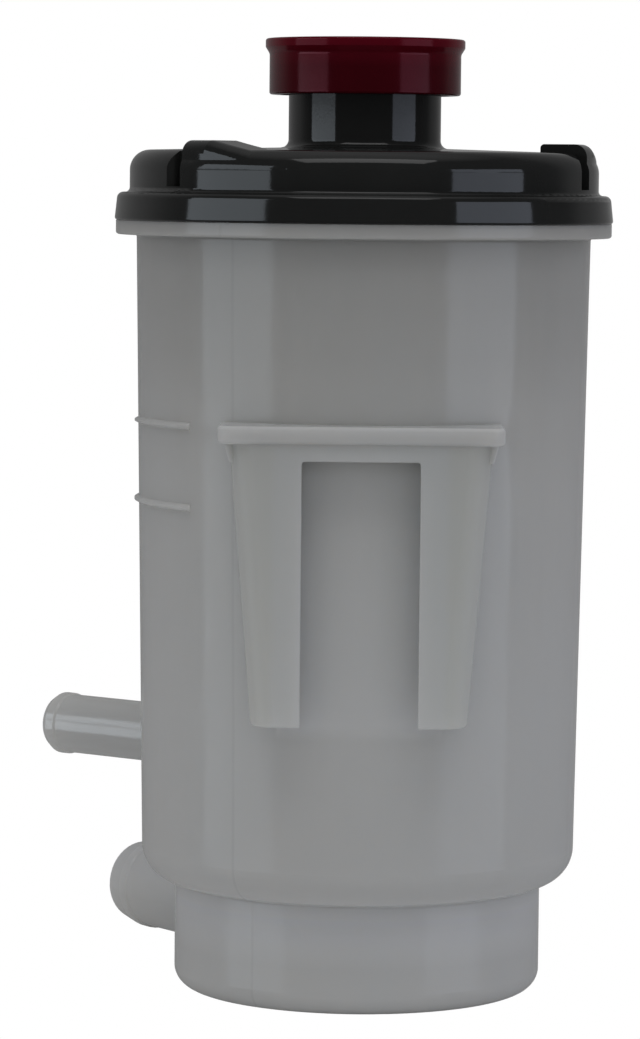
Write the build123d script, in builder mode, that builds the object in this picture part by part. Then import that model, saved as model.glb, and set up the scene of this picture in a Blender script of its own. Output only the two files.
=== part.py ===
"""Power steering reservoir: translucent tank, welded lid, screw cap, strainer and splash baffle.

Millimetres. +Z is up, the origin is the centre of the base's underside, and the stay pocket faces -Y.
Azimuths are measured about the tank's axis from +X towards +Y.
"""

import math
import os

from build123d import *

os.makedirs("parts", exist_ok=True)

# Tank: drum at the foot, body above it, rim at the top
wall = 2.5
drum_radius = 36.8
drum_height = 21.8
drum_corner = 4.2
drum_crease = 0.6
shoulder_rise = 1.2
shoulder_width = 6.6
body_flare = 1.95
body_corner = 7.0
inner_corner = 3.6
rim_width = 4.15
rim_height = 2.8
body_height = 154.0
rim_edge = 0.6
ledge_thickness = 2.7

# Level marks: raised lines at the left
mark_heights = (98.5, 114.4)
mark_starts = (173.0, 188.0)
mark_end = 222.0
mark_proud = 0.9
mark_width = 1.5

# Stay pocket: a block on the front, open at the foot, with a lip down each side
pocket_foot = 58.4
pocket_height = 50.9
pocket_roof = 3.1
pocket_gap = 4.6
pocket_foot_half_width = 20.7
pocket_top_half_width = 25.1
pocket_lip = 2.6
pocket_half_width = 16.4
pocket_window_half_width = 11.3
pocket_corner = 4.6
pocket_edge = 0.8
bar_height = 3.4
bar_half_width = 27.3
bar_proud = 0.6
bar_gusset = 3.4
bar_corner = 2.4
bar_edge = 0.7

# Return stub, high on the body, and outlet stub on the drum
return_azimuth = 143.0
return_height = 46.8
return_reach = 79.7
return_shank_radius = 6.15
return_bore_radius = 4.2
return_nose_length = 1.6
outlet_azimuth = 127.0
outlet_height = 10.8
outlet_reach = 77.5
outlet_shank_radius = 9.1
outlet_bore_radius = 7.0
outlet_nose_length = 5.2
bead_proud = 0.3
bead_land = 2.0
bead_ramp = 0.4
nose_drop = 1.0
nose_edge = 0.4

# Lid: flange welded on the rim, tier above it, neck in the middle
lid_wall = 2.5
flange_overhang = 0.3
flange_draft = 0.6
flange_height = 5.6
flange_edge = 1.3
tier_inset = 2.7
tier_height = 9.1
tier_corner = 4.0
tier_crease = 0.9
deck_fall = 0.8
spigot_depth = 4.6
spigot_wall = 2.2
spigot_clearance = 0.25
neck_radius = 15.2
neck_wall = 2.7
neck_mouth_step = 0.6
neck_mouth_depth = 3.0
neck_height = 18.1
neck_root_fillet = 1.6
neck_edge = 0.6

# Drive notches in the tier, each with a lug beside it
notch_count = 3
notch_azimuth = 220.5
notch_width = 3.2
notch_depth = 2.6
notch_flare = 1.4
notch_floor_rise = 1.2
notch_back = 1.6
lug_height = 1.85
lug_inset = 0.5
lug_corner = 2.6
lug_level = 8.0
lug_sweep = 24.0
lug_slope = 12.0
lug_reach = 9.6
lug_edge = 0.8

# Cap: skirt over the neck and a lip round the top
cap_wall = 2.1
cap_lip_proud = 0.8
cap_lip_height = 1.7
cap_lip_flare = 1.3
cap_skirt = 7.6
cap_plate = 2.0
cap_clearance = 1.8
cap_edge = 0.5
cap_dish_border = 4.6
cap_dish_depth = 0.5
cap_socket_wall = 1.8

# Seal and vent disc under the cap
seal_thickness = 1.5
seal_clearance = 0.6
seal_overlap = 1.9
vent_disc_clearance = 0.6
vent_disc_thickness = 1.8
vent_stem_radius = 3.0
vent_stem_clearance = 0.2
vent_slot_count = 3
vent_slot_radius = 1.1

# Strainer on the ledge over the drum
strainer_overlap = 2.7
strainer_rim_height = 3.4
strainer_seat_height = 1.5
strainer_rim_wall = 3.2
strainer_seat_width = 3.2
strainer_collar_depth = 2.6
strainer_collar_clearance = 0.3
strainer_collar_wall = 1.6
spoke_count = 6
spoke_width = 2.4
hub_radius = 5.0
mesh_thickness = 0.4
mesh_clearance = 0.2
ring_height = 1.4

# Splash baffle over the return inlet, standing on the strainer's rim
baffle_height = 62.0
baffle_thickness = 1.8
baffle_clearance = 0.6
baffle_leg_count = 4
baffle_leg_azimuth = 0.0
baffle_leg_width = 6.0
baffle_leg_thickness = 2.0
baffle_slot_count = 8
baffle_slot_length = 15.0
baffle_slot_width = 4.0
baffle_centre_hole = 6.0

# Places that follow from the sizes above
body_foot_radius = drum_radius + shoulder_width
body_top_radius = body_foot_radius + body_flare
drum_bore_radius = drum_radius - wall
body_foot_bore_radius = body_foot_radius - wall
body_top_bore_radius = body_top_radius - wall
ledge_height = drum_height + ledge_thickness
rim_top = body_height
rim_bottom = rim_top - rim_height
rim_radius = body_top_radius + rim_width
body_draft = (body_top_radius - body_foot_radius) / (rim_bottom - drum_height)
flange_foot_radius = rim_radius + flange_overhang
flange_top_radius = flange_foot_radius - flange_draft
tier_radius = rim_radius - tier_inset
deck_height = rim_top + flange_height + tier_height
deck_edge_height = deck_height - deck_fall
neck_top = deck_height + neck_height
seal_top = neck_top + seal_thickness
cap_top = seal_top + cap_plate
cap_bottom = neck_top - cap_skirt
neck_bore_radius = neck_radius - neck_wall
neck_mouth_radius = neck_bore_radius + neck_mouth_step
cap_bore_radius = neck_radius + cap_clearance
cap_radius = cap_bore_radius + cap_wall
cap_lip_radius = cap_radius + cap_lip_proud
cap_dish_radius = cap_radius - cap_dish_border
seal_inner_radius = neck_bore_radius - seal_overlap
vent_disc_radius = neck_mouth_radius - vent_disc_clearance
pocket_top = pocket_foot + pocket_height
pocket_block_top = pocket_top + pocket_roof
pocket_back = body_foot_radius / 2
past = 1.0


def body_radius(height):
    """Outer radius of the tapered body at a height."""
    return body_foot_radius + body_draft * (height - drum_height)


pocket_front = body_radius(pocket_top) + pocket_gap + pocket_lip
bar_front = pocket_front + bar_proud


def radial_plane(azimuth, height=0):
    """The upright plane through the axis whose X points outwards at an azimuth, and whose Y is up."""
    outward = (math.cos(math.radians(azimuth)), math.sin(math.radians(azimuth)), 0)
    return Plane(origin=(0, 0, height), x_dir=outward, z_dir=(outward[1], -outward[0], 0))


def stub(azimuth, height, reach, shank_radius, nose_length):
    """A hose stub with a low bead and a bevelled nose, from the tank's axis outwards."""
    plane = radial_plane(azimuth, height)
    bead_radius = shank_radius + bead_proud
    land_end = reach - nose_length
    land_start = land_end - bead_land
    with BuildPart() as piece:
        with BuildSketch(plane):
            with BuildLine():
                FilletPolyline(
                    (0, 0),
                    (0, shank_radius),
                    (land_start - bead_ramp, shank_radius),
                    (land_start, bead_radius),
                    (land_end, bead_radius),
                    (reach, bead_radius - nose_drop),
                    (reach, 0),
                    radius=(0, 0, 0, 0, nose_edge),
                )
                Line((reach, 0), (0, 0))
            make_face()
        revolve(axis=Axis(plane.origin, plane.x_dir))
    return piece.part


def stub_bore(azimuth, height, reach, radius):
    """The straight bore of a stub, from inside the tank to past its tip."""
    outward = radial_plane(azimuth).x_dir
    start = drum_bore_radius / 2
    origin = Vector(0, 0, height) + outward * start
    with BuildPart() as piece:
        with BuildSketch(Plane(origin=origin, z_dir=outward)):
            Circle(radius)
        extrude(amount=reach - start + past)
    return piece.part


return_stub = stub(
    return_azimuth, return_height, return_reach, return_shank_radius, return_nose_length
)
outlet_stub = stub(
    outlet_azimuth, outlet_height, outlet_reach, outlet_shank_radius, outlet_nose_length
)
return_bore = stub_bore(return_azimuth, return_height, return_reach, return_bore_radius)
outlet_bore = stub_bore(outlet_azimuth, outlet_height, outlet_reach, outlet_bore_radius)

# Stay pocket block, before the body closes its back
with BuildPart() as stay_block:
    with BuildSketch(Plane.XZ.offset(pocket_back)):
        with BuildLine():
            Polyline(
                (-pocket_foot_half_width, pocket_foot),
                (pocket_foot_half_width, pocket_foot),
                (pocket_top_half_width, pocket_block_top),
                (-pocket_top_half_width, pocket_block_top),
                close=True,
            )
        make_face()
    extrude(amount=pocket_front - pocket_back)
    front_face = stay_block.faces().sort_by(Axis.Y)[0]
    uprights = front_face.edges().filter_by(Axis.X, reverse=True)
    fillet(uprights, pocket_corner)
    foot_front = stay_block.faces().sort_by(Axis.Z)[0].edges().sort_by(Axis.Y)[0]
    fillet(foot_front, pocket_edge)
    with BuildSketch(Plane.XZ.offset(pocket_back)) as pocket_face:
        with Locations((0, pocket_foot - past)):
            Rectangle(
                2 * pocket_half_width,
                pocket_top - pocket_foot + past,
                align=(Align.CENTER, Align.MIN),
            )
        fillet(pocket_face.vertices().group_by(Axis.Z)[-1], pocket_lip)
    extrude(amount=pocket_front - pocket_lip - pocket_back, mode=Mode.SUBTRACT)
    with BuildSketch(Plane.XZ.offset(pocket_back)) as window_face:
        with Locations((0, pocket_foot - past)):
            Rectangle(
                2 * pocket_window_half_width,
                pocket_top - pocket_foot + past,
                align=(Align.CENTER, Align.MIN),
            )
        fillet(window_face.vertices().group_by(Axis.Z)[-1], pocket_edge)
    extrude(amount=pocket_front + past - pocket_back, mode=Mode.SUBTRACT)

# Bar across the top of the pocket
with BuildPart() as stay_bar:
    with BuildSketch(Plane.XY.offset(pocket_block_top)) as bar_outline:
        with Locations((0, -bar_front)):
            Rectangle(
                2 * bar_half_width,
                bar_front - pocket_back,
                align=(Align.CENTER, Align.MIN),
            )
        fillet(bar_outline.vertices().group_by(Axis.Y)[0], bar_corner)
    extrude(amount=bar_height)
    bar_rims = stay_bar.edges().filter_by(Plane.XY).filter_by_position(
        Axis.Y, -bar_front - past, -pocket_back - past
    )
    fillet(bar_rims, bar_edge)
    with BuildSketch(Plane.XZ.offset(pocket_back)):
        with BuildLine():
            Polyline(
                (-bar_half_width + bar_corner, pocket_block_top + bar_height / 2),
                (-bar_half_width + bar_corner / 2, pocket_block_top),
                (-pocket_top_half_width, pocket_block_top - bar_gusset),
                (pocket_top_half_width, pocket_block_top - bar_gusset),
                (bar_half_width - bar_corner / 2, pocket_block_top),
                (bar_half_width - bar_corner, pocket_block_top + bar_height / 2),
                close=True,
            )
        make_face()
    extrude(amount=pocket_front - bar_corner - pocket_back)

# Tank
with BuildPart() as tank:
    with BuildSketch(Plane.XZ):
        with BuildLine():
            FilletPolyline(
                (0, 0),
                (drum_radius, 0),
                (drum_radius, drum_height),
                (body_foot_radius, drum_height + shoulder_rise),
                (body_top_radius, rim_bottom),
                (rim_radius, rim_bottom),
                (rim_radius, rim_top),
                (0, rim_top),
                radius=(drum_corner, drum_crease, body_corner, rim_edge, rim_edge, 0),
            )
            Line((0, rim_top), (0, 0))
        make_face()
    revolve(axis=Axis.Z)
    add(stay_block.part)
    add(stay_bar.part)
    add(return_stub)
    add(outlet_stub)
    for mark_height, mark_start in zip(mark_heights, mark_starts):
        mark_radius = body_radius(mark_height)
        with BuildSketch(radial_plane(mark_start)):
            with BuildLine():
                Polyline(
                    (mark_radius - wall / 2, mark_height - mark_width / 2),
                    (mark_radius, mark_height - mark_width / 2),
                    (mark_radius + mark_proud, mark_height - mark_width / 6),
                    (mark_radius + mark_proud, mark_height + mark_width / 6),
                    (mark_radius, mark_height + mark_width / 2),
                    (mark_radius - wall / 2, mark_height + mark_width / 2),
                    close=True,
                )
            make_face()
        revolve(axis=Axis.Z, revolution_arc=mark_end - mark_start)
    with BuildSketch(Plane.XZ):
        with BuildLine():
            FilletPolyline(
                (0, wall),
                (drum_bore_radius, wall),
                (drum_bore_radius, ledge_height),
                (body_foot_bore_radius, ledge_height),
                (body_top_bore_radius, rim_bottom),
                (body_top_bore_radius, rim_top + past),
                (0, rim_top + past),
                radius=(drum_corner / 2, 0, inner_corner, 0, 0),
            )
            Line((0, rim_top + past), (0, wall))
        make_face()
    revolve(axis=Axis.Z, mode=Mode.SUBTRACT)
    add(return_bore, mode=Mode.SUBTRACT)
    add(outlet_bore, mode=Mode.SUBTRACT)
tank.part.label = "tank"
export_step(tank.part, "parts/tank.step")

# One drive lug: a pad along the tier's edge, level beside the notch and then falling away
lug_foot = deck_edge_height - 1.5 * tier_corner
lug_crown = deck_edge_height + lug_height
with BuildPart() as lug:
    with BuildSketch(radial_plane(notch_azimuth)):
        with Locations((tier_radius - lug_inset, lug_foot)):
            Rectangle(lug_reach, lug_crown - lug_foot, align=(Align.MAX, Align.MIN))
    revolve(axis=Axis.Z, revolution_arc=lug_sweep)
    brow = radial_plane(notch_azimuth + lug_level, lug_crown)
    brow_start = brow.origin + brow.x_dir * (tier_radius - lug_reach / 2)
    downhill = brow.z_dir * -math.cos(math.radians(lug_slope))
    downhill -= Vector(0, 0, math.sin(math.radians(lug_slope)))
    with BuildSketch(Plane(origin=brow_start, x_dir=downhill, z_dir=downhill.cross(-brow.x_dir))):
        Rectangle(tier_radius, 3 * lug_reach, align=(Align.MIN, Align.CENTER))
    extrude(amount=tier_corner + lug_height, mode=Mode.SUBTRACT)
    outer_face = lug.faces().filter_by(GeomType.CYLINDER).sort_by(SortBy.AREA)[-1]
    inner_face = lug.faces().filter_by(GeomType.CYLINDER).sort_by(SortBy.AREA)[0]
    outer_edges = outer_face.edges().filter_by(Axis.Z, reverse=True).sort_by(Axis.Z)[1:]
    fillet(outer_edges, lug_corner)
    inner_edges = inner_face.edges().filter_by(Axis.Z, reverse=True).sort_by(Axis.Z)[1:]
    fillet(inner_edges, lug_edge)

# One drive notch, seen from above: square on the lug's side, flared on the other
with BuildSketch() as notch:
    with BuildLine():
        FilletPolyline(
            (-notch_depth, 0),
            (-notch_depth, -notch_width),
            (-notch_flare, -notch_width),
            (past, -notch_width - notch_flare - past),
            (past, 0),
            radius=(0, 0, notch_flare, 0, 0),
            close=True,
        )
    make_face()

# Lid
with BuildPart() as lid:
    with BuildSketch(Plane.XZ):
        with BuildLine():
            FilletPolyline(
                (0, rim_top),
                (flange_foot_radius, rim_top),
                (flange_top_radius, rim_top + flange_height),
                (tier_radius, rim_top + flange_height),
                (tier_radius, deck_edge_height),
                (neck_radius, deck_height),
                (neck_radius, neck_top),
                (0, neck_top),
                radius=(rim_edge, flange_edge, tier_crease, tier_corner, neck_root_fillet, neck_edge),
            )
            Line((0, neck_top), (0, rim_top))
        make_face()
    revolve(axis=Axis.Z)
    with PolarLocations(0, notch_count):
        add(lug.part)
    with BuildSketch(Plane.XZ):
        with BuildLine():
            FilletPolyline(
                (0, rim_top - past),
                (tier_radius - lid_wall, rim_top - past),
                (tier_radius - lid_wall, deck_edge_height - lid_wall),
                (neck_bore_radius, deck_height - lid_wall),
                (neck_bore_radius, neck_top - neck_mouth_depth),
                (neck_mouth_radius, neck_top - neck_mouth_depth),
                (neck_mouth_radius, neck_top + past),
                (0, neck_top + past),
                radius=(0, tier_corner - lid_wall / 2, 0, 0, 0, 0),
            )
            Line((0, neck_top + past), (0, rim_top - past))
        make_face()
    revolve(axis=Axis.Z, mode=Mode.SUBTRACT)
    notch_floor = rim_top + flange_height + notch_floor_rise
    with BuildSketch(Plane.XY.offset(notch_floor - notch_back)):
        with PolarLocations(tier_radius, notch_count, start_angle=notch_azimuth):
            with Locations((-notch_depth - notch_back, notch_back)):
                Rectangle(
                    notch_depth + notch_back - lid_wall / 2,
                    notch_width + notch_flare + 2 * notch_back,
                    align=(Align.MIN, Align.MAX),
                )
        Circle(tier_radius - lid_wall / 2, mode=Mode.INTERSECT)
    extrude(amount=deck_edge_height - lid_wall / 2 - notch_floor + notch_back)
    with BuildSketch(Plane.XY.offset(notch_floor)):
        with PolarLocations(tier_radius, notch_count, start_angle=notch_azimuth):
            add(notch.sketch)
    extrude(amount=tier_height + lug_height + past, mode=Mode.SUBTRACT)
    spigot_radius = body_top_bore_radius - spigot_clearance
    with BuildSketch(Plane.XZ):
        with BuildLine():
            Polyline(
                (spigot_radius - spigot_wall, rim_top - spigot_depth),
                (spigot_radius, rim_top - spigot_depth),
                (spigot_radius, rim_top),
                (tier_radius - lid_wall / 2, rim_top),
                (tier_radius - lid_wall / 2, rim_top + spigot_wall),
                (spigot_radius - spigot_wall, rim_top + spigot_wall),
                close=True,
            )
        make_face()
    revolve(axis=Axis.Z)
lid.part.label = "lid"
export_step(lid.part, "parts/lid.step")

# Screw cap
with BuildPart() as cap_shell:
    with BuildSketch(Plane.XZ):
        with BuildLine():
            FilletPolyline(
                (0, cap_bottom),
                (cap_radius, cap_bottom),
                (cap_radius, cap_top - cap_lip_height - cap_lip_flare),
                (cap_lip_radius, cap_top - cap_lip_height),
                (cap_lip_radius, cap_top),
                (cap_dish_radius, cap_top),
                (cap_dish_radius - cap_dish_depth, cap_top - cap_dish_depth),
                (0, cap_top - cap_dish_depth),
                radius=(cap_edge, cap_lip_flare, 0, cap_edge, 0, 0),
            )
            Line((0, cap_top - cap_dish_depth), (0, cap_bottom))
        make_face()
    revolve(axis=Axis.Z)
    with BuildSketch(Plane.XY.offset(cap_bottom)):
        Circle(cap_bore_radius)
    extrude(amount=seal_top - cap_bottom, mode=Mode.SUBTRACT)
    with BuildSketch(Plane.XY.offset(seal_top)):
        Circle(vent_stem_radius + vent_stem_clearance + cap_socket_wall)
        Circle(vent_stem_radius + vent_stem_clearance, mode=Mode.SUBTRACT)
    extrude(amount=neck_top + vent_stem_clearance - seal_top)
cap_shell.part.label = "cap_shell"
export_step(cap_shell.part, "parts/cap_shell.step")

# Rubber seal between the cap and the neck's mouth
with BuildPart() as cap_seal:
    with BuildSketch(Plane.XY.offset(neck_top)):
        Circle(cap_bore_radius - seal_clearance)
        Circle(seal_inner_radius, mode=Mode.SUBTRACT)
    extrude(amount=seal_thickness)
    seal_edges = cap_seal.edges().filter_by(GeomType.CIRCLE).group_by(SortBy.RADIUS)
    chamfer(seal_edges[-1], seal_thickness / 5)
cap_seal.part.label = "cap_seal"
export_step(cap_seal.part, "parts/cap_seal.step")

# Vent disc, which carries the seal and hangs in the neck's bore
with BuildPart() as cap_vent_disc:
    with BuildSketch(Plane.XY.offset(neck_top - vent_disc_thickness)):
        Circle(vent_disc_radius)
        with PolarLocations((vent_stem_radius + vent_disc_radius) / 2, vent_slot_count):
            Circle(vent_slot_radius, mode=Mode.SUBTRACT)
    extrude(amount=vent_disc_thickness)
    with BuildSketch(Plane.XY.offset(neck_top)):
        Circle(vent_stem_radius)
    extrude(amount=seal_thickness)
cap_vent_disc.part.label = "cap_vent_disc"
export_step(cap_vent_disc.part, "parts/cap_vent_disc.step")

# Strainer frame: rim on the ledge, collar in the drum's mouth, spokes to a hub
rim_outer = drum_bore_radius + strainer_overlap
rim_inner = rim_outer - strainer_rim_wall
seat_inner = rim_inner - strainer_seat_width
collar_radius = drum_bore_radius - strainer_collar_clearance
with BuildPart() as strainer_frame:
    with BuildSketch(Plane.XZ):
        with BuildLine():
            Polyline(
                (seat_inner, ledge_height),
                (collar_radius - strainer_collar_wall, ledge_height),
                (collar_radius - strainer_collar_wall, ledge_height - strainer_collar_depth),
                (collar_radius, ledge_height - strainer_collar_depth),
                (collar_radius, ledge_height),
                (rim_outer, ledge_height),
                (rim_outer, ledge_height + strainer_rim_height),
                (rim_inner, ledge_height + strainer_rim_height),
                (rim_inner, ledge_height + strainer_seat_height),
                (seat_inner, ledge_height + strainer_seat_height),
                close=True,
            )
        make_face()
    revolve(axis=Axis.Z)
    with BuildSketch(Plane.XY.offset(ledge_height)):
        Circle(hub_radius)
        with PolarLocations(0, spoke_count):
            Rectangle(seat_inner + past, spoke_width, align=(Align.MIN, Align.CENTER))
    extrude(amount=strainer_seat_height)
strainer_frame.part.label = "strainer_frame"
export_step(strainer_frame.part, "parts/strainer_frame.step")

# Strainer mesh, as one thin disc
mesh_height = ledge_height + strainer_seat_height
mesh_radius = rim_inner - mesh_clearance
with BuildPart() as strainer_mesh:
    with BuildSketch(Plane.XY.offset(mesh_height)):
        Circle(mesh_radius)
    extrude(amount=mesh_thickness)
strainer_mesh.part.label = "strainer_mesh"
export_step(strainer_mesh.part, "parts/strainer_mesh.step")

# Ring that holds the mesh down
with BuildPart() as strainer_ring:
    with BuildSketch(Plane.XY.offset(mesh_height + mesh_thickness)):
        Circle(mesh_radius)
        Circle(seat_inner, mode=Mode.SUBTRACT)
    extrude(amount=ring_height)
    chamfer(strainer_ring.edges().group_by(Axis.Z)[-1], ring_height / 4)
strainer_ring.part.label = "strainer_ring"
export_step(strainer_ring.part, "parts/strainer_ring.step")

# Splash baffle: a slotted plate on legs
baffle_radius = body_radius(baffle_height) - wall - baffle_clearance
leg_foot = ledge_height + strainer_rim_height
leg_radius = rim_outer - strainer_rim_wall / 2
with BuildPart() as splash_baffle:
    with BuildSketch(Plane.XY.offset(baffle_height)):
        Circle(baffle_radius)
        Circle(baffle_centre_hole, mode=Mode.SUBTRACT)
        with PolarLocations((baffle_centre_hole + baffle_radius) / 2, baffle_slot_count):
            SlotOverall(baffle_slot_length, baffle_slot_width, mode=Mode.SUBTRACT)
    extrude(amount=baffle_thickness)
    with BuildSketch(Plane.XY.offset(leg_foot)):
        with PolarLocations(leg_radius, baffle_leg_count, start_angle=baffle_leg_azimuth):
            Rectangle(baffle_leg_thickness, baffle_leg_width)
    extrude(amount=baffle_height - leg_foot)
splash_baffle.part.label = "splash_baffle"
export_step(splash_baffle.part, "parts/splash_baffle.step")
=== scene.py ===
"""Looks of the power steering reservoir: finishes, threads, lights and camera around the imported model.

Metres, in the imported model's frame: +Z up, the stay pocket faces -Y, the camera looks along +Y.
"""

import math
from types import SimpleNamespace

import bmesh
import bpy
from mathutils import Matrix, Vector

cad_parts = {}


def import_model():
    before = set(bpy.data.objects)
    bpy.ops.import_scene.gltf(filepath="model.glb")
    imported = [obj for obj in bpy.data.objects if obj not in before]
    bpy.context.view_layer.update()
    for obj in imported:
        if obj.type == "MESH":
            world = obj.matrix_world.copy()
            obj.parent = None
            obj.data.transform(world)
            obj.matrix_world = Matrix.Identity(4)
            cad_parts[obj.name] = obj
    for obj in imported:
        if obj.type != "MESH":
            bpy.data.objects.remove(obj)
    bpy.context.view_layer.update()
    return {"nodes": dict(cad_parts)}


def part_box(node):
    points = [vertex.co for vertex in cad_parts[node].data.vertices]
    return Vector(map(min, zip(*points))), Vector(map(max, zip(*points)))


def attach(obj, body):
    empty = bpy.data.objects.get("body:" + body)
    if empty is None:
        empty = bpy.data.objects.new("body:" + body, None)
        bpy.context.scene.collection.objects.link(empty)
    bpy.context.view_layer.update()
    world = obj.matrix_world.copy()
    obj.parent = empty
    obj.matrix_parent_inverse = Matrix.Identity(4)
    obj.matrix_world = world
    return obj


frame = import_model()
nodes = frame["nodes"]
mm = 0.001

WHITE = (1.0, 1.0, 1.0)
PLASTIC_IOR = 1.49
# The part of the noise's range that a patchy value is stretched from
NOISE_LOW = 0.3
NOISE_HIGH = 0.7


def opaque(colour):
    """A colour with full alpha, as colour sockets take it."""
    return (*colour, 1.0)


def new_material(name):
    """A material with an empty node tree."""
    made = bpy.data.materials.new(name)
    made.use_nodes = True
    made.node_tree.nodes.clear()
    return made


def add(tree, kind, inputs=None, **settings):
    """One shader node. An input is a value, or the output socket that it is linked from."""
    made = tree.nodes.new(kind)
    for key, value in settings.items():
        setattr(made, key, value)
    for key, value in (inputs or {}).items():
        socket = made.inputs[key]
        if isinstance(value, bpy.types.NodeSocket):
            tree.links.new(value, socket)
        else:
            socket.default_value = value
    return made


def finish_material(tree, kind, inputs):
    """Adds the shader of that kind and links it to the material's output."""
    surface = add(tree, kind, inputs)
    output = add(tree, "ShaderNodeOutputMaterial")
    tree.links.new(surface.outputs[0], output.inputs["Surface"])


def place(tree):
    """The place on the piece in metres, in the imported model's frame at rest."""
    return add(tree, "ShaderNodeTexCoord").outputs["Object"]


def noise(tree, scale, detail, roughness=0.5, stretch=None):
    """A noise value about 0.5, with a scale in cells a metre."""
    where = place(tree)
    if stretch:
        where = add(tree, "ShaderNodeMapping", {"Vector": where, "Scale": stretch}).outputs[0]
    made = add(
        tree,
        "ShaderNodeTexNoise",
        {"Vector": where, "Scale": scale, "Detail": detail, "Roughness": roughness},
    )
    return made.outputs["Fac"]


def ranged(tree, value, low, high, to_low, to_high, smooth=False):
    """A value carried from one range to another, held at its ends."""
    made = add(
        tree,
        "ShaderNodeMapRange",
        {"Value": value, "From Min": low, "From Max": high, "To Min": to_low, "To Max": to_high},
        interpolation_type="SMOOTHSTEP" if smooth else "LINEAR",
    )
    return made.outputs["Result"]


def patchy(tree, to_low, to_high, scale, detail, roughness=0.5, stretch=None):
    """A value that drifts between two levels over the surface."""
    drift = noise(tree, scale, detail, roughness, stretch)
    return ranged(tree, drift, NOISE_LOW, NOISE_HIGH, to_low, to_high)


def math_node(tree, operation, first, second=0.0):
    """The result of one sum."""
    return add(tree, "ShaderNodeMath", {0: first, 1: second}, operation=operation).outputs[0]


def product(tree, first, *others):
    """Two or more values multiplied."""
    for other in others:
        first = math_node(tree, "MULTIPLY", first, other)
    return first


def band(tree, value, low, high, soft):
    """1 between low and high, falling to 0 over a soft edge inside them."""
    rise = ranged(tree, value, low, low + soft, 0.0, 1.0, smooth=True)
    fall = ranged(tree, value, high - soft, high, 1.0, 0.0, smooth=True)
    return product(tree, rise, fall)


def mixed(tree, share, first, second, blend="MIX"):
    """Two colours mixed by a share."""
    made = add(
        tree,
        "ShaderNodeMix",
        {"Factor": share, 6: first, 7: second},
        data_type="RGBA",
        blend_type=blend,
    )
    return made.outputs[2]


def multiplied(tree, first, second):
    """Two colours multiplied."""
    return mixed(tree, 1.0, first, second, "MULTIPLY")


def grey(tree, level):
    """A value as a colour."""
    return add(tree, "ShaderNodeCombineXYZ", {"X": level, "Y": level, "Z": level}).outputs[0]


def grey_ramp(tree, value, stops):
    """A grey that follows a value through stops, each a place from 0 to 1 and its level."""
    made = add(tree, "ShaderNodeValToRGB", {"Fac": value})
    elements = made.color_ramp.elements
    for index, (at, level) in enumerate(stops):
        # A new ramp already has two elements
        element = elements[index] if index < 2 else elements.new(at)
        element.position = at
        element.color = (level, level, level, 1.0)
    return made.outputs["Color"]


def bumped(tree, height, distance, normal=None):
    """A normal bent by a height of 0 to 1, as deep as distance in metres."""
    inputs = {"Height": height, "Distance": distance, "Strength": 1.0}
    if normal is not None:
        inputs["Normal"] = normal
    return add(tree, "ShaderNodeBump", inputs).outputs["Normal"]


def moulded_skin(tree, wave_scale, wave, grain_scale, grain):
    """The normal of a moulding's surface: long shallow waves and a fine grain."""
    wavy = bumped(tree, noise(tree, wave_scale, detail=2.0), wave)
    return bumped(tree, noise(tree, grain_scale, detail=2.0), grain, normal=wavy)


# Tank plastic: milky, with light spread inside it, and painted shade that darkens it towards the black
# lid
TANK_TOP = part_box("tank")[1].z
TANK_COLOUR = (0.915, 0.905, 0.872)
TANK_THIN_COLOUR = (0.895, 0.9, 0.88)
TANK_ROUGH_LOW = 0.11
TANK_ROUGH_HIGH = 0.16
TANK_SPREAD = 6.0 * mm
TANK_SPREAD_BY_COLOUR = (1.0, 0.95, 0.9)
TANK_WAVE = 0.05 * mm
TANK_GRAIN = 0.006 * mm
# Painted shade and light by height: each a share of the tank's height, and how light the tank is painted
# there. It is darker towards the black lid, where its shade falls, and lighter at the top of the drum,
# against the shade under the body's overhang
TANK_PAINTED_SHADES = (
    (0.0, 0.87),
    (0.06, 0.89),
    (0.12, 1.14),
    (0.15, 0.91),
    (0.17, 0.86),
    (0.38, 0.865),
    (0.56, 0.82),
    (0.67, 0.8),
    (0.77, 0.73),
    (0.835, 0.65),
    (0.9, 0.61),
    (0.94, 0.61),
    (0.98, 0.56),
)
# The distance over which most of the tank's painted shades and glosses change at an edge
SOFT_EDGE = 1.0 * mm

# The mould's parting line
SEAM_AZIMUTH = math.radians(236.4)
SEAM_HALF_WIDTH = 0.15 * mm
SEAM_RIDGE = 0.03 * mm
SEAM_STRENGTH = 0.08
SEAM_COLOUR = (0.25, 0.26, 0.26)

# The stay pocket: where it is, and how much painted light brightens it in its middle and more towards its
# sides, against the shade that the bar and lips cast in it
POCKET_HALF_WIDTH = 16.4 * mm
POCKET_FOOT = 58.4 * mm
POCKET_TOP = 109.3 * mm
POCKET_FRONT = -47.2 * mm
POCKET_BACK = -40.0 * mm
POCKET_FADE = 4.0 * mm
POCKET_PAINTED_LIGHT = 0.13
POCKET_SIDE_PAINTED_LIGHT = 0.5
POCKET_SIDE_POWER = 2.5
POCKET_PAINTED_LIGHT_MOST = 1.27

# What stands proud of the tank's front: the pocket's rails and lips, the bar above it, the level marks
BODY_FOOT_RADIUS = 43.4 * mm
BODY_TOP_RADIUS = 45.35 * mm
PROUD_START = 0.3 * mm
PROUD_FULL = 1.6 * mm
PROUD_BACK = -4.0 * mm
RIM_FOOT = 120.0 * mm
LIP_END = POCKET_HALF_WIDTH - 1.0 * mm
RAIL_START = POCKET_HALF_WIDTH + 1.5 * mm
BAR_FOOT = 111.5 * mm
MARKS_START = 30.0 * mm
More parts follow.
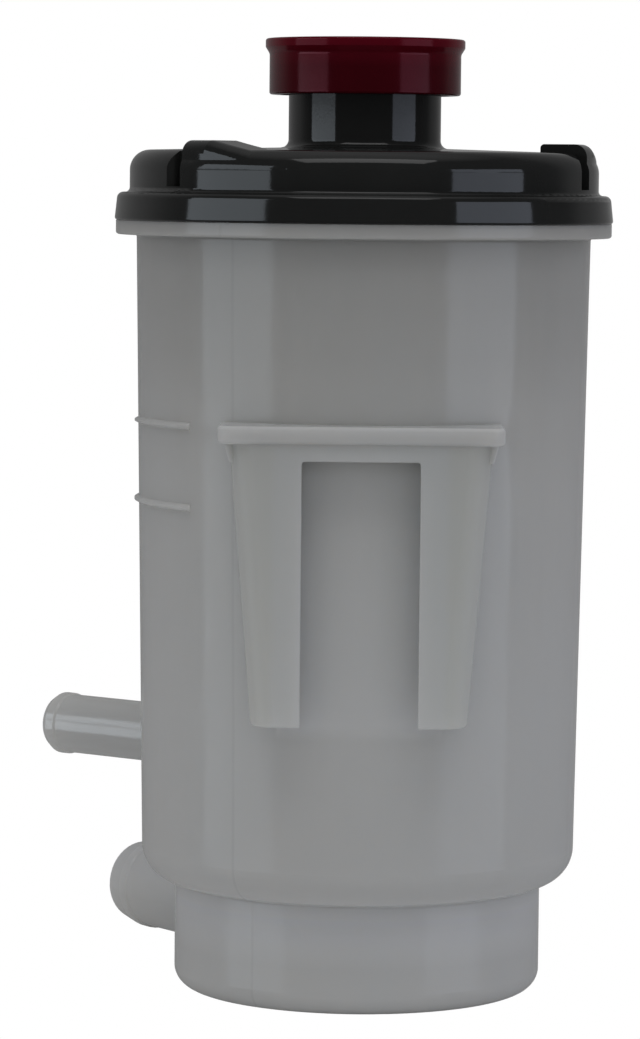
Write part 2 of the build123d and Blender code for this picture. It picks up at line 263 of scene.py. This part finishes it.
# Painted shade multiplied onto what stands proud: less on the thin lips, which light shows through, than
# on the rails, least on the bar, and most on the level marks, to dim their highlights
RAIL_PAINTED_SHADE = (0.905, 0.92, 0.915)
LIP_PAINTED_SHADE = (0.92, 0.94, 0.955)
BAR_PAINTED_SHADE = (0.97, 0.98, 0.995)
MARK_PAINTED_SHADE = (0.75, 0.75, 0.75)

# Specular levels of the tank: its body's grows upwards and towards the right, between these places
BODY_GLOSS_LOW = 0.2
BODY_GLOSS_HIGH = 0.4
BODY_GLOSS_FOOT = 60.0 * mm
BODY_GLOSS_TOP = 135.0 * mm
LEFT_GLOSS_SHARE = 0.78
LEFT_GLOSS_END = -20.0 * mm
RIGHT_GLOSS_START = 10.0 * mm
RAIL_GLOSS = 0.06
STUB_GLOSS = 0.8

# The hose stubs: all that is this far out, low down and behind the tank's middle
STUB_START = 46.5 * mm
STUB_TOP = 60.0 * mm
STUB_FRONT = 0.0
STUB_FRONT_FADE = 10.0 * mm


def tank_places(tree):
    """The sockets that say where a point of the tank is."""
    point = place(tree)
    split = add(tree, "ShaderNodeSeparateXYZ", {"Vector": point}).outputs
    flat = add(tree, "ShaderNodeCombineXYZ", {"X": split["X"], "Y": split["Y"]}).outputs[0]
    reach = add(tree, "ShaderNodeVectorMath", {0: flat}, operation="LENGTH").outputs["Value"]
    return SimpleNamespace(
        point=point,
        x=split["X"],
        y=split["Y"],
        height=split["Z"],
        aside=math_node(tree, "ABSOLUTE", split["X"]),
        reach=reach,
    )


def seam_share(tree, at):
    """1 on the parting line, 0 off it."""
    across = (-math.sin(SEAM_AZIMUTH), math.cos(SEAM_AZIMUTH), 0.0)
    offset = add(tree, "ShaderNodeVectorMath", {0: at.point, 1: across}, operation="DOT_PRODUCT")
    distance = math_node(tree, "ABSOLUTE", offset.outputs["Value"])
    return ranged(tree, distance, SEAM_HALF_WIDTH, 3 * SEAM_HALF_WIDTH, 1.0, 0.0, smooth=True)


def pocket_share(tree, at):
    """1 in the stay pocket, 0 outside it."""
    return product(
        tree,
        band(tree, at.x, -POCKET_HALF_WIDTH, POCKET_HALF_WIDTH, SOFT_EDGE),
        band(tree, at.height, POCKET_FOOT - POCKET_FADE, POCKET_TOP, POCKET_FADE),
        ranged(tree, at.y, POCKET_FRONT, POCKET_FRONT + SOFT_EDGE, 0.0, 1.0, smooth=True),
        ranged(tree, at.y, POCKET_BACK, POCKET_BACK + POCKET_FADE, 1.0, 0.0, smooth=True),
    )


def pocket_painted_light(tree, at):
    """How much painted light makes the pocket lighter than the tank round it, against the shade in it."""
    share = ranged(tree, at.aside, 0.0, POCKET_HALF_WIDTH, 0.0, 1.0)
    side_painted_light = product(tree, math_node(tree, "POWER", share, POCKET_SIDE_POWER), POCKET_SIDE_PAINTED_LIGHT)
    painted_lift = math_node(tree, "ADD", side_painted_light, 1.0 + POCKET_PAINTED_LIGHT)
    return grey(tree, math_node(tree, "MINIMUM", painted_lift, POCKET_PAINTED_LIGHT_MOST))


def proud_share(tree, at):
    """1 on what stands proud of the tank's front below its rim, 0 on the rest."""
    body = ranged(tree, at.height, 0.0, TANK_TOP, BODY_FOOT_RADIUS, BODY_TOP_RADIUS)
    proud = math_node(tree, "SUBTRACT", at.reach, body)
    return product(
        tree,
        ranged(tree, at.y, PROUD_BACK, PROUD_BACK + 2 * SOFT_EDGE, 1.0, 0.0),
        ranged(tree, at.height, RIM_FOOT, RIM_FOOT + SOFT_EDGE, 1.0, 0.0),
        ranged(tree, proud, PROUD_START, PROUD_FULL, 0.0, 1.0, smooth=True),
    )


def proud_painted_shade(tree, at):
    """The painted shade of the lips, the rails beside them, the bar above and the marks outside them."""
    rails = ranged(tree, at.aside, LIP_END, RAIL_START, 0.0, 1.0, smooth=True)
    painted_shade = mixed(tree, rails, opaque(LIP_PAINTED_SHADE), opaque(RAIL_PAINTED_SHADE))
    bar = ranged(tree, at.height, BAR_FOOT, BAR_FOOT + SOFT_EDGE, 0.0, 1.0)
    painted_shade = mixed(tree, bar, painted_shade, opaque(BAR_PAINTED_SHADE))
    marks = ranged(tree, at.aside, MARKS_START, MARKS_START + SOFT_EDGE, 0.0, 1.0)
    return mixed(tree, marks, painted_shade, opaque(MARK_PAINTED_SHADE))


def stub_share(tree, at):
    """1 on the hose stubs, 0 on the rest."""
    return product(
        tree,
        ranged(tree, at.y, STUB_FRONT, STUB_FRONT + STUB_FRONT_FADE, 0.0, 1.0),
        ranged(tree, at.reach, STUB_START, STUB_START + SOFT_EDGE, 0.0, 1.0),
        ranged(tree, at.height, STUB_TOP, STUB_TOP + 2 * SOFT_EDGE, 1.0, 0.0),
    )


def tank_colour(tree, at, proud, seam):
    """The cloudy plastic, with painted shade by height, painted light in the pocket, painted shade on
    what stands proud, and the seam.
    """
    cloud = patchy(tree, 0.0, 1.0, scale=26.0, detail=4.0, roughness=0.6, stretch=(1.0, 1.0, 0.45))
    base = mixed(tree, cloud, opaque(TANK_COLOUR), opaque(TANK_THIN_COLOUR))
    height_share = ranged(tree, at.height, 0.0, TANK_TOP, 0.0, 1.0)
    # Painted shade and light by height
    painted_shading = multiplied(tree, base, grey_ramp(tree, height_share, TANK_PAINTED_SHADES))
    # Painted light in the stay pocket
    painted_lift = multiplied(tree, painted_shading, pocket_painted_light(tree, at))
    painted_shading = mixed(tree, pocket_share(tree, at), painted_shading, painted_lift)
    # Painted shade on what stands proud
    painted_shading = mixed(tree, proud, painted_shading, multiplied(tree, painted_shading, proud_painted_shade(tree, at)))
    return mixed(tree, product(tree, seam, SEAM_STRENGTH), painted_shading, opaque(SEAM_COLOUR))


def tank_gloss(tree, at, proud):
    """The specular level: that of the body, the stubs, or what stands proud."""
    upwards = ranged(
        tree, at.height, BODY_GLOSS_FOOT, BODY_GLOSS_TOP, BODY_GLOSS_LOW, BODY_GLOSS_HIGH
    )
    sideways = ranged(tree, at.x, LEFT_GLOSS_END, RIGHT_GLOSS_START, LEFT_GLOSS_SHARE, 1.0)
    body = product(tree, upwards, sideways)
    gloss = body
    for share, level in ((stub_share(tree, at), STUB_GLOSS), (proud, RAIL_GLOSS)):
        change = math_node(tree, "SUBTRACT", level, body)
        gloss = math_node(tree, "ADD", gloss, product(tree, share, change))
    return gloss


def tank_material():
    """The tank's milky plastic."""
    made = new_material("milky_tank_plastic")
    tree = made.node_tree
    at = tank_places(tree)
    seam = seam_share(tree, at)
    proud = proud_share(tree, at)
    skin = moulded_skin(tree, wave_scale=110.0, wave=TANK_WAVE, grain_scale=1600.0, grain=TANK_GRAIN)
    inputs = {
        "Base Color": tank_colour(tree, at, proud, seam),
        "Roughness": patchy(tree, TANK_ROUGH_LOW, TANK_ROUGH_HIGH, scale=60.0, detail=4.0),
        "IOR": PLASTIC_IOR,
        "Specular IOR Level": tank_gloss(tree, at, proud),
        "Subsurface Weight": 1.0,
        "Subsurface Radius": TANK_SPREAD_BY_COLOUR,
        "Subsurface Scale": TANK_SPREAD,
        "Normal": bumped(tree, seam, SEAM_RIDGE, normal=skin),
    }
    finish_material(tree, "ShaderNodeBsdfPrincipled", inputs)
    return made


# Other mouldings: the shares of its roughness that a moulding's surface drifts between
ROUGH_LEAST = 0.85
ROUGH_MOST = 1.2


def moulded_material(
    name, colour, rough, wave=0.03 * mm, grain=0.004 * mm, tint=0.15, gloss=0.5, sheen=WHITE, lit_crown=None
):
    """A coloured moulding, slightly wavy, with faint swirls of shade.

    The last argument is a height range and a factor: painted light makes the colour lighter by that
    factor over the range, for light that gets in at the top.
    """
    made = new_material(name)
    tree = made.node_tree
    swirl = patchy(tree, 0.0, 1.0, scale=45.0, detail=5.0, roughness=0.6)
    dark = tuple(channel * (1 - tint) for channel in colour)
    light = tuple(channel * (1 + tint) for channel in colour)
    base = mixed(tree, swirl, opaque(dark), opaque(light))
    # Painted light: the colour made lighter by a factor over a height range
    if lit_crown:
        low, high, factor = lit_crown
        height = add(tree, "ShaderNodeSeparateXYZ", {"Vector": place(tree)}).outputs["Z"]
        base = multiplied(tree, base, grey(tree, ranged(tree, height, low, high, 1.0, factor)))
    inputs = {
        "Base Color": base,
        "Roughness": patchy(tree, rough * ROUGH_LEAST, rough * ROUGH_MOST, scale=120.0, detail=4.0),
        "IOR": PLASTIC_IOR,
        "Specular IOR Level": gloss,
        "Specular Tint": opaque(sheen),
        "Normal": moulded_skin(tree, wave_scale=90.0, wave=wave, grain_scale=2200.0, grain=grain),
    }
    finish_material(tree, "ShaderNodeBsdfPrincipled", inputs)
    return made


# Woven steel: the distance between wires, how high they stand, the shares of that height where the gap's
# painted shade ends and the crown's colour starts, and both colours. The gaps are painted dark as their
# shade
WIRE_PITCH = 0.25 * mm
WIRE_HEIGHT = 0.15 * mm
WIRE_GAP_END = 0.5
WIRE_CROWN_START = 0.9
WIRE_GAP_PAINTED_SHADE = (0.06, 0.06, 0.06)
WIRE_CROWN_COLOUR = (0.5, 0.5, 0.5)


def mesh_material():
    """Woven steel: two crossed sets of wires, with painted shade in the gaps between them."""
    made = new_material("woven_steel_mesh")
    tree = made.node_tree
    wires = []
    for axis in ("X", "Y"):
        along = add(tree, "ShaderNodeSeparateXYZ", {"Vector": place(tree)}).outputs[axis]
        phase = product(tree, along, math.pi / WIRE_PITCH)
        wires.append(math_node(tree, "ABSOLUTE", math_node(tree, "SINE", phase)))
    weave = math_node(tree, "MAXIMUM", *wires)
    lit_crown = ranged(tree, weave, WIRE_GAP_END, WIRE_CROWN_START, 0.0, 1.0)
    inputs = {
        "Base Color": mixed(tree, lit_crown, opaque(WIRE_GAP_PAINTED_SHADE), opaque(WIRE_CROWN_COLOUR)),
        "Metallic": 1.0,
        "Roughness": 0.35,
        "Normal": bumped(tree, weave, WIRE_HEIGHT),
    }
    finish_material(tree, "ShaderNodeBsdfPrincipled", inputs)
    return made


black = moulded_material(
    "black_lid_plastic",
    colour=(0.0192, 0.0198, 0.0192),
    rough=0.07,
    wave=0.015 * mm,
    grain=0.002 * mm,
)
red = moulded_material(
    "red_cap_plastic",
    colour=(0.068, 0.0019, 0.0062),
    rough=0.12,
    gloss=0.45,
    sheen=(1.0, 0.32, 0.4),
    # Painted light: the red is painted up to 2.1 times lighter towards the cap's top, for light that gets
    # in at the thin lip
    lit_crown=(184.5 * mm, 189.5 * mm, 2.1),
)
rubber = moulded_material("seal_rubber", colour=(0.02, 0.02, 0.02), rough=0.5, grain=0.02 * mm)
natural = moulded_material("natural_inner_plastic", colour=(0.62, 0.61, 0.56), rough=0.32, tint=0.05)
finishes = {
    "tank": tank_material(),
    "lid": black,
    "cap_shell": red,
    "cap_seal": rubber,
    "cap_vent_disc": natural,
    "strainer_frame": natural,
    "strainer_ring": natural,
    "splash_baffle": natural,
    "strainer_mesh": mesh_material(),
}
for name, finish in finishes.items():
    mesh = nodes[name].data
    mesh.materials.clear()
    mesh.materials.append(finish)


# Threads of the neck and the cap: three starts each, the cap's between the neck's
THREAD_LEAD = 12.5 * mm
THREAD_STARTS = 3
THREAD_FOOT = 1.7 * mm
THREAD_CREST = 0.8 * mm
THREAD_STEPS = 60
# The share of a ridge over which it fades at each end, and the share of its height that is left there
THREAD_TAPER = 0.08
THREAD_LEAST = 0.02


def thread(name, foot_radius, crest_radius, low, turns, phase=0.0):
    """Helical ridges that rise from foot_radius to crest_radius and fade at both ends."""
    work = bmesh.new()
    pitch = THREAD_LEAD / THREAD_STARTS
    for start in range(THREAD_STARTS):
        rings = []
        for step in range(THREAD_STEPS + 1):
            share = step / THREAD_STEPS
            fade = min(1.0, share / THREAD_TAPER, (1 - share) / THREAD_TAPER)
            turn = 2 * math.pi * (share * turns + start / THREAD_STARTS)
            middle = low + THREAD_LEAD * share * turns + phase * pitch
            crest = foot_radius + (crest_radius - foot_radius) * max(fade, THREAD_LEAST)
            section = (
                (foot_radius, -THREAD_FOOT / 2),
                (crest, -THREAD_CREST / 2),
                (crest, THREAD_CREST / 2),
                (foot_radius, THREAD_FOOT / 2),
            )
            rings.append([
                work.verts.new((r * math.cos(turn), r * math.sin(turn), middle + z))
                for r, z in section
            ])
        for first, second in zip(rings, rings[1:]):
            for a in range(len(first)):
                b = (a + 1) % len(first)
                work.faces.new((first[a], first[b], second[b], second[a]))
        work.faces.new(reversed(rings[0]))
        work.faces.new(rings[-1])
    bmesh.ops.recalc_face_normals(work, faces=work.faces)
    mesh = bpy.data.meshes.new(name)
    work.to_mesh(mesh)
    work.free()
    mesh.shade_smooth()
    piece = bpy.data.objects.new(name, mesh)
    bpy.context.scene.collection.objects.link(piece)
    return piece


neck_thread = thread(
    "neck_thread", foot_radius=15.15 * mm, crest_radius=16.3 * mm, low=181.0 * mm, turns=0.38
)
neck_thread.data.materials.append(black)
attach(neck_thread, "root")
cap_thread = thread(
    "cap_thread", foot_radius=17.05 * mm, crest_radius=15.9 * mm, low=180.6 * mm, turns=0.24, phase=0.5
)
cap_thread.data.materials.append(red)
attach(cap_thread, "cap")


# Camera, at the photograph's angle
CAMERA_DISTANCE = 0.888
CAMERA_HEIGHT = 0.1634
CAMERA_PITCH = math.radians(4.453)
CAMERA_YAW = math.radians(0.528)
CAMERA_ROLL = math.radians(0.55)
CAMERA_LENS = 153.57
CAMERA_SENSOR_WIDTH = 36.0

camera_data = bpy.data.cameras.new("camera")
camera_data.lens = CAMERA_LENS
camera_data.sensor_width = CAMERA_SENSOR_WIDTH
camera = bpy.data.objects.new("camera", camera_data)
camera.matrix_world = (
    Matrix.Translation((0.0, -CAMERA_DISTANCE, CAMERA_HEIGHT))
    @ Matrix.Rotation(CAMERA_YAW, 4, "Z")
    @ Matrix.Rotation(math.pi / 2 - CAMERA_PITCH, 4, "X")
    @ Matrix.Rotation(CAMERA_ROLL, 4, "Z")
)
bpy.context.scene.collection.objects.link(camera)
bpy.context.scene.camera = camera


# Lamps: the side ones are dim between two heights, which leaves a break in their reflections
SIDE_DISTANCE = 1.0
SIDE_FOOT = -0.25
BREAK_FOOT = 0.19
BREAK_TOP = 0.27
LEFT_TOP = 0.62
RIGHT_TOP = 0.45
BREAK_RADIANCE = 0.5
LEFT_SIDE = {"azimuth": -66.0, "width": 0.76, "tint": (0.9, 1.0, 1.09)}
RIGHT_SIDE = {"azimuth": 62.0, "width": 0.72, "tint": (0.91, 1.0, 1.18)}
# How much of a side lamp's radiance lights the object, where mirrors see all of it
LIGHT_SHARE = 0.12
# The height on the object's axis that the lamps above point at
AIM_HEIGHT = 0.09


def panel(name, middle, away, width, height, radiance, tint=WHITE, use="both"):
    """A flat rectangular lamp that faces against the direction away.

    Its use is seen for one that only mirrors see, light for one that only lights, or both.
    """
    data = bpy.data.lights.new(name, "AREA")
    data.shape = "RECTANGLE"
    data.size = width
    data.size_y = height
    data.color = tint
    data.energy = radiance * math.pi * width * height
    lamp = bpy.data.objects.new(name, data)
    lamp.location = middle
    lamp.rotation_euler = away.to_track_quat("Z", "Y").to_euler()
    lamp.visible_camera = False
    lamp.visible_diffuse = use != "seen"
    lamp.visible_glossy = use != "light"
    bpy.context.scene.collection.objects.link(lamp)


def softbox(name, azimuth, foot, top, width, radiance, tint):
    """An upright lamp panel at an azimuth from the camera's side, positive towards +X.

    Two lamps share its place: one that only mirrors see, and a weaker one that only lights.
    """
    turn = math.radians(azimuth)
    away = Vector((math.sin(turn), -math.cos(turn), 0.0))
    middle = away * SIDE_DISTANCE + Vector((0.0, 0.0, (foot + top) / 2))
    for use, share in (("seen", 1.0), ("light", LIGHT_SHARE)):
        panel(name + "_" + use, middle, away, width, top - foot, radiance * share, tint, use)


def overhead(name, azimuth, elevation, distance, width, height, radiance, use="both"):
    """A lamp panel above, tilted towards the object's middle."""
    turn = math.radians(azimuth)
    rise = math.radians(elevation)
    away = Vector((
        math.sin(turn) * math.cos(rise),
        -math.cos(turn) * math.cos(rise),
        math.sin(rise),
    ))
    middle = away * distance + Vector((0.0, 0.0, AIM_HEIGHT))
    panel(name, middle, away, width, height, radiance, use=use)


softbox("left_low", foot=SIDE_FOOT, top=BREAK_FOOT, radiance=1.5, **LEFT_SIDE)
softbox("left_middle", foot=BREAK_FOOT, top=BREAK_TOP, radiance=BREAK_RADIANCE, **LEFT_SIDE)
softbox("left_high", foot=BREAK_TOP, top=LEFT_TOP, radiance=1.5, **LEFT_SIDE)
softbox("right_low", foot=SIDE_FOOT, top=BREAK_FOOT, radiance=1.05, **RIGHT_SIDE)
softbox("right_middle", foot=BREAK_FOOT, top=BREAK_TOP, radiance=BREAK_RADIANCE, **RIGHT_SIDE)
softbox("right_high", foot=BREAK_TOP, top=RIGHT_TOP, radiance=1.1, **RIGHT_SIDE)
overhead(
    "top_softbox",
    azimuth=0.0,
    elevation=62.0,
    distance=1.1,
    width=0.97,
    height=0.44,
    radiance=1.2,
)
overhead(
    "back_softbox",
    azimuth=180.0,
    elevation=25.0,
    distance=1.3,
    width=0.9,
    height=0.7,
    radiance=0.6,
    use="light",
)


# The walls that mirrors see on each side: how far back a direction points, 1 straight away from the
# camera's side, and how bright the wall is there. Steep directions see the ceiling instead
LEFT_WALL = ((0.0, 0.05), (0.2, 0.1), (0.43, 0.2), (0.63, 0.22), (0.85, 0.22), (1.0, 0.2))
RIGHT_WALL = ((0.0, 0.05), (0.3, 0.07), (0.5, 0.16), (0.72, 0.18), (0.9, 0.21), (1.0, 0.28))
WALL_BLEND = 0.1
CEILING = 0.35
CEILING_START = 0.8
CEILING_FADE = 0.15
# The even light from all round, tinted by how far to the left or right a direction points
EVEN_LIGHT = 0.338
EVEN_LEFT = (0.885, 0.9, 0.95)
EVEN_MIDDLE = (0.98, 0.97, 0.935)
EVEN_RIGHT = (0.96, 0.985, 1.11)
EVEN_SPREAD = 0.8


def mirrored_walls(tree, towards):
    """What mirrors see of the world: the two walls, and the ceiling above them."""
    walls = [grey_ramp(tree, towards["Y"], stops) for stops in (LEFT_WALL, RIGHT_WALL)]
    right = ranged(tree, towards["X"], -WALL_BLEND, WALL_BLEND, 0.0, 1.0)
    steep = ranged(tree, towards["Z"], CEILING_START, CEILING_START + CEILING_FADE, 0.0, 1.0)
    return mixed(tree, steep, mixed(tree, right, *walls), (CEILING, CEILING, CEILING, 1.0))


def even_tint(tree, towards):
    """The colour of the even light."""
    leftward = ranged(tree, towards["X"], -EVEN_SPREAD, 0.0, 0.0, 1.0)
    rightward = ranged(tree, towards["X"], 0.0, EVEN_SPREAD, 0.0, 1.0)
    tint = mixed(tree, leftward, opaque(EVEN_LEFT), opaque(EVEN_MIDDLE))
    return mixed(tree, rightward, tint, opaque(EVEN_RIGHT))


def world():
    """White for the camera and through glass, dim walls for mirrors, an even light for the rest."""
    made = bpy.data.worlds.new("studio")
    made.use_nodes = True
    tree = made.node_tree
    tree.nodes.clear()
    direction = add(tree, "ShaderNodeTexCoord").outputs["Generated"]
    towards = add(tree, "ShaderNodeSeparateXYZ", {"Vector": direction}).outputs
    ray = add(tree, "ShaderNodeLightPath").outputs
    seen = math_node(tree, "MAXIMUM", ray["Is Camera Ray"], ray["Is Transmission Ray"])
    even = add(
        tree, "ShaderNodeBackground", {"Color": even_tint(tree, towards), "Strength": EVEN_LIGHT}
    ).outputs[0]
    walls = add(
        tree, "ShaderNodeBackground", {"Color": mirrored_walls(tree, towards), "Strength": 1.0}
    ).outputs[0]
    white = add(tree, "ShaderNodeBackground", {"Color": opaque(WHITE), "Strength": 1.0}).outputs[0]
    unseen = add(tree, "ShaderNodeMixShader", {"Fac": ray["Is Glossy Ray"], 1: even, 2: walls}).outputs[0]
    both = add(tree, "ShaderNodeMixShader", {"Fac": seen, 1: unseen, 2: white}).outputs[0]
    output = add(tree, "ShaderNodeOutputWorld")
    tree.links.new(both, output.inputs["Surface"])
    bpy.context.scene.world = made


FLOOR_SIZE = 0.6
FLOOR_COLOUR = (0.8, 0.8, 0.8)


def floor():
    """A pale floor that throws light back up at the object and is hidden from the camera."""
    work = bmesh.new()
    bmesh.ops.create_grid(work, x_segments=1, y_segments=1, size=FLOOR_SIZE)
    mesh = bpy.data.meshes.new("floor")
    work.to_mesh(mesh)
    work.free()
    made = bpy.data.objects.new("floor", mesh)
    bpy.context.scene.collection.objects.link(made)
    paint = new_material("pale_floor")
    finish_material(paint.node_tree, "ShaderNodeBsdfDiffuse", {"Color": opaque(FLOOR_COLOUR)})
    mesh.materials.append(paint)
    made.visible_camera = False
    made.visible_glossy = False
    made.visible_shadow = False


world()
floor()

scene = bpy.context.scene
scene.view_settings.view_transform = "Standard"
